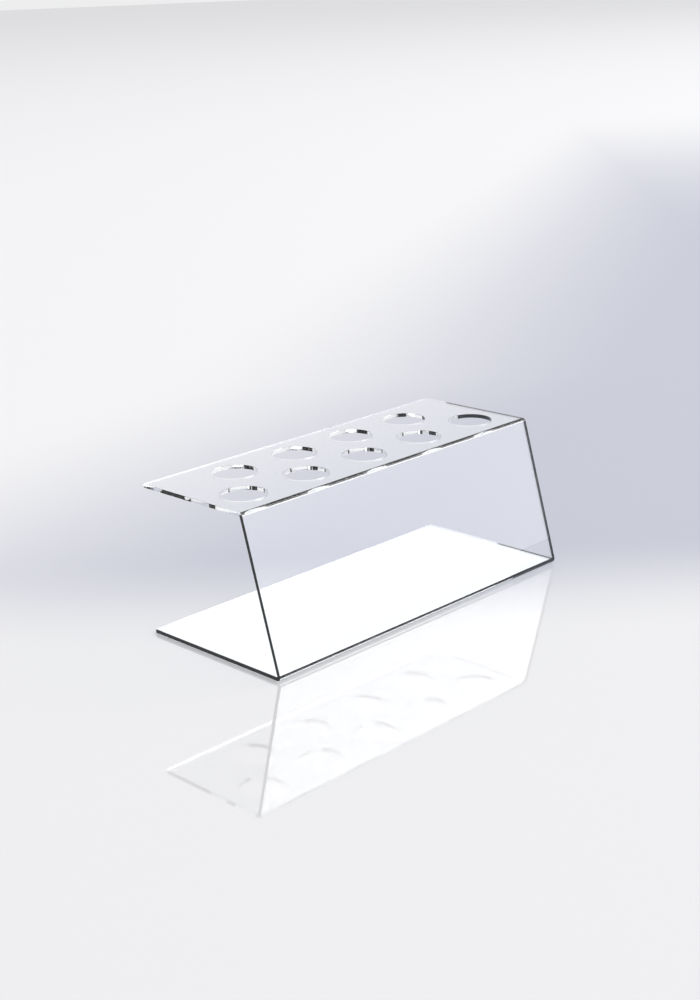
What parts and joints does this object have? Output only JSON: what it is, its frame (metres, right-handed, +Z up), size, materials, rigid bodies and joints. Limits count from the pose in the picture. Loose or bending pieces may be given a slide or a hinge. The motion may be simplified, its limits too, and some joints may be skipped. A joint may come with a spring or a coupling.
{
  "type": "cone and tube stand",
  "caption": "Clear acrylic counter stand: a flat base, a riser that leans back over it, and a shelf with two staggered rows of round holes that hold cones or tubes upright.",
  "frame": {"origin": "on the counter, at the middle of the bounding box", "axes": "+X along the stand's length, +Y from the riser at the front to the open back, +Z up"},
  "size_m": [0.3, 0.1358, 0.115],
  "materials": {
    "clear_acrylic": "polished"
  },
  "bodies": {
    "root": {"base_plate": "clear_acrylic", "lower_bend": "clear_acrylic", "riser_panel": "clear_acrylic", "upper_bend": "clear_acrylic", "hole_shelf": "clear_acrylic"}
  },
  "joints": []
}
